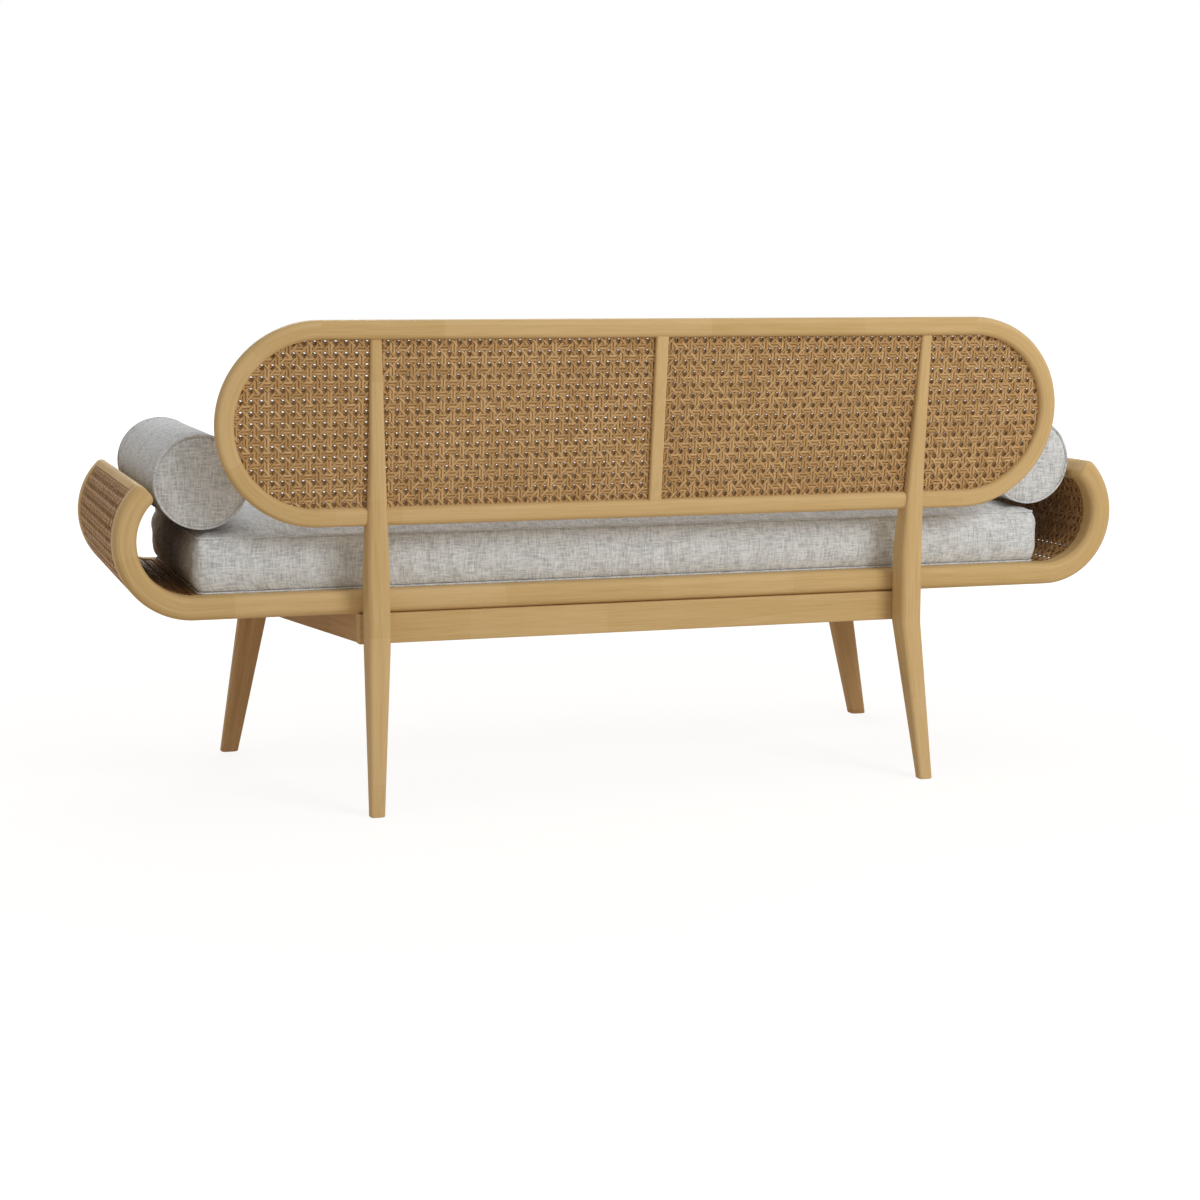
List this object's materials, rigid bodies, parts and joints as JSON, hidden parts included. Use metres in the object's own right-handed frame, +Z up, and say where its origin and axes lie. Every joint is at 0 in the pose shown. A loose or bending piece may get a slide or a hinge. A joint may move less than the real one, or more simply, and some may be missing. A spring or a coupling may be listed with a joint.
{
  "type": "cane sofa",
  "caption": "Sofa with bent-wood seat rails that curl up into caned arms, a leaning caned back with rounded ends, tapered legs, a loose seat cushion and bolsters.",
  "frame": {"origin": "on the floor, under the middle of the sofa's plan", "axes": "+Z up; the seat faces -Y; +X towards a sitter's left hand"},
  "size_m": [1.776, 0.69, 0.8],
  "materials": {
    "frame_wood": "satin",
    "inner_wood": "matte",
    "cane": "satin",
    "upholstery": "matte",
    "steel": "satin"
  },
  "bodies": {
    "frame": {"rear_rail": "frame_wood", "front_rail": "frame_wood", "arm_hoop_rear_left": "frame_wood", "arm_hoop_rear_right": "frame_wood", "arm_hoop_front_left": "frame_wood", "arm_hoop_front_right": "frame_wood", "arm_top_bar_left": "frame_wood", "arm_top_bar_right": "frame_wood", "arm_crossbar_left": "inner_wood", "arm_crossbar_right": "inner_wood", "arm_cane_outer_left": "cane", "arm_cane_outer_right": "cane", "arm_cane_inner_left": "cane", "arm_cane_inner_right": "cane", "back_top_rail": "frame_wood", "back_bottom_rail": "frame_wood", "back_stub_left": "frame_wood", "back_stub_right": "frame_wood", "back_end_left": "frame_wood", "back_end_right": "frame_wood", "back_middle_stile": "frame_wood", "back_cane_rear_end_left": "cane", "back_cane_rear_mid_left": "cane", "back_cane_rear_mid_right": "cane", "back_cane_rear_end_right": "cane", "back_cane_front_end_left": "cane", "back_cane_front_mid_left": "cane", "back_cane_front_mid_right": "cane", "back_cane_front_end_right": "cane", "rear_leg_left": "frame_wood", "rear_leg_right": "frame_wood", "front_leg_left": "frame_wood", "front_leg_right": "frame_wood", "rear_apron": "frame_wood", "front_apron": "frame_wood", "side_apron_left": "frame_wood", "side_apron_right": "frame_wood", "base_stretcher": "inner_wood", "seat_cross_rail_left": "inner_wood", "seat_cross_rail_right": "inner_wood", "ledger_front": "inner_wood", "ledger_rear": "inner_wood", "seat_slat_1": "inner_wood", "seat_slat_2": "inner_wood", "seat_slat_3": "inner_wood", "seat_slat_4": "inner_wood", "seat_slat_5": "inner_wood", "seat_slat_6": "inner_wood", "seat_slat_7": "inner_wood", "seat_slat_8": "inner_wood", "seat_slat_9": "inner_wood", "corner_blocks": "inner_wood", "frame_dowels": "frame_wood", "leg_bolts": "steel", "slat_screws": "steel"},
    "seat_cushion": {"seat_cushion": "upholstery"},
    "bolster_left": {"bolster_left": "upholstery"},
    "bolster_right": {"bolster_right": "upholstery"}
  },
  "joints": [
    {"name": "seat_cushion_lift", "type": "slide", "parent": "frame", "child": "seat_cushion", "axis": [0, 0, 1], "range_m": [0, 0.25]},
    {"name": "bolster_left_lift", "type": "slide", "parent": "seat_cushion", "child": "bolster_left", "axis": [0, 0, 1], "range_m": [0, 0.3]},
    {"name": "bolster_right_lift", "type": "slide", "parent": "seat_cushion", "child": "bolster_right", "axis": [0, 0, 1], "range_m": [0, 0.3]}
  ]
}
